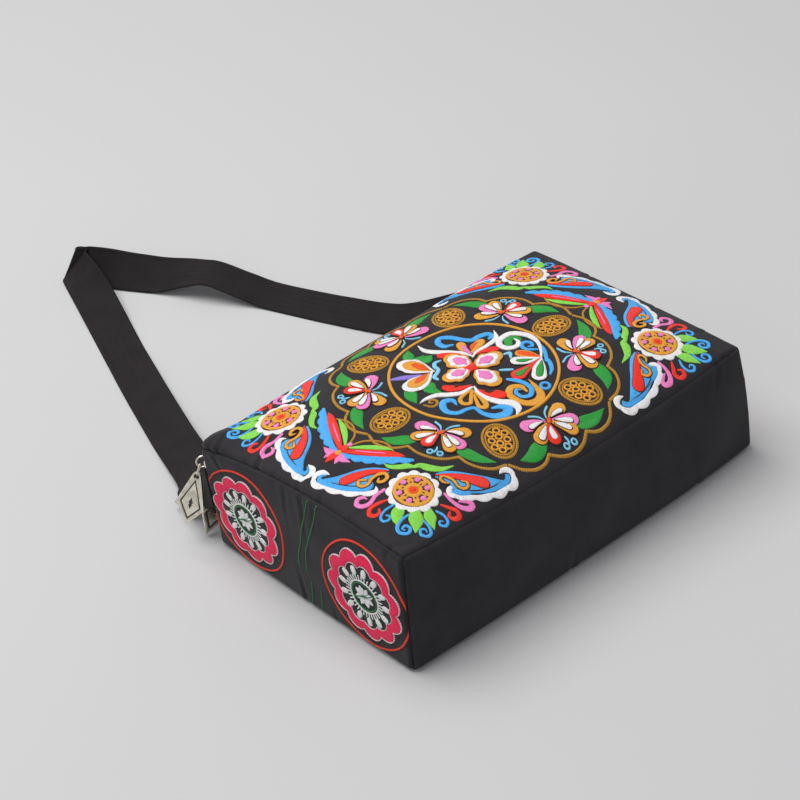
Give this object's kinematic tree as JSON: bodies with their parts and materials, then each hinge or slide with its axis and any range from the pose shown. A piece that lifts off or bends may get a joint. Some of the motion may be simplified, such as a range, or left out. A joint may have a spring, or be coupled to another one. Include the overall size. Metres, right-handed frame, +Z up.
{
  "type": "travel bag",
  "caption": "Soft box-shaped shoulder bag of dark embroidered cloth, lying on its back, with zips along one long side, kite-shaped zip pulls and a long flat strap.",
  "frame": {"origin": "on the floor under the middle of the back panel, which the bag lies on", "axes": "+X along the bag's width, +Y from the bottom panel towards the zip side and the strap, +Z up from the floor, out of the front panel"},
  "size_m": [0.3228, 0.5589, 0.1033],
  "materials": {
    "cloth": "matt plain weave, near black",
    "strap": "matt flat woven band, near black",
    "zip_tape": "matt narrow weave, black",
    "zip_coil": "satin nylon, black",
    "pale_metal": "satin pale gold plating",
    "thread_orange": "silky embroidery thread, orange",
    "thread_gold": "silky embroidery thread, gold",
    "thread_white": "silky embroidery thread, white",
    "thread_blue": "silky embroidery thread, sky blue",
    "thread_red": "silky embroidery thread, red",
    "thread_pink": "silky embroidery thread, pink",
    "thread_lime": "silky embroidery thread, lime green",
    "thread_green": "silky embroidery thread, green"
  },
  "bodies": {
    "root": {"front_panel": "cloth", "back_panel": "cloth", "bottom_panel": "cloth", "side_panel_left": "cloth", "side_panel_right": "cloth", "zip_strip_1": "cloth", "zip_strip_2": "cloth", "zip_strip_3": "cloth", "zip_strip_4": "cloth", "zip_tape_1": "zip_tape", "zip_tape_2": "zip_tape", "zip_tape_3": "zip_tape", "zip_coil_1": "zip_coil", "zip_coil_2": "zip_coil", "zip_coil_3": "zip_coil", "zip_slider_1": "pale_metal", "zip_slider_2": "pale_metal", "zip_slider_3": "pale_metal", "pull_ring_1": "pale_metal", "pull_ring_2": "pale_metal", "pull_ring_3": "pale_metal", "pull_link_1": "pale_metal", "pull_link_2": "pale_metal", "pull_link_3": "pale_metal", "pull_kite_1": "pale_metal", "pull_kite_2": "pale_metal", "pull_kite_3": "pale_metal", "strap": "strap"}
  },
  "joints": []
}
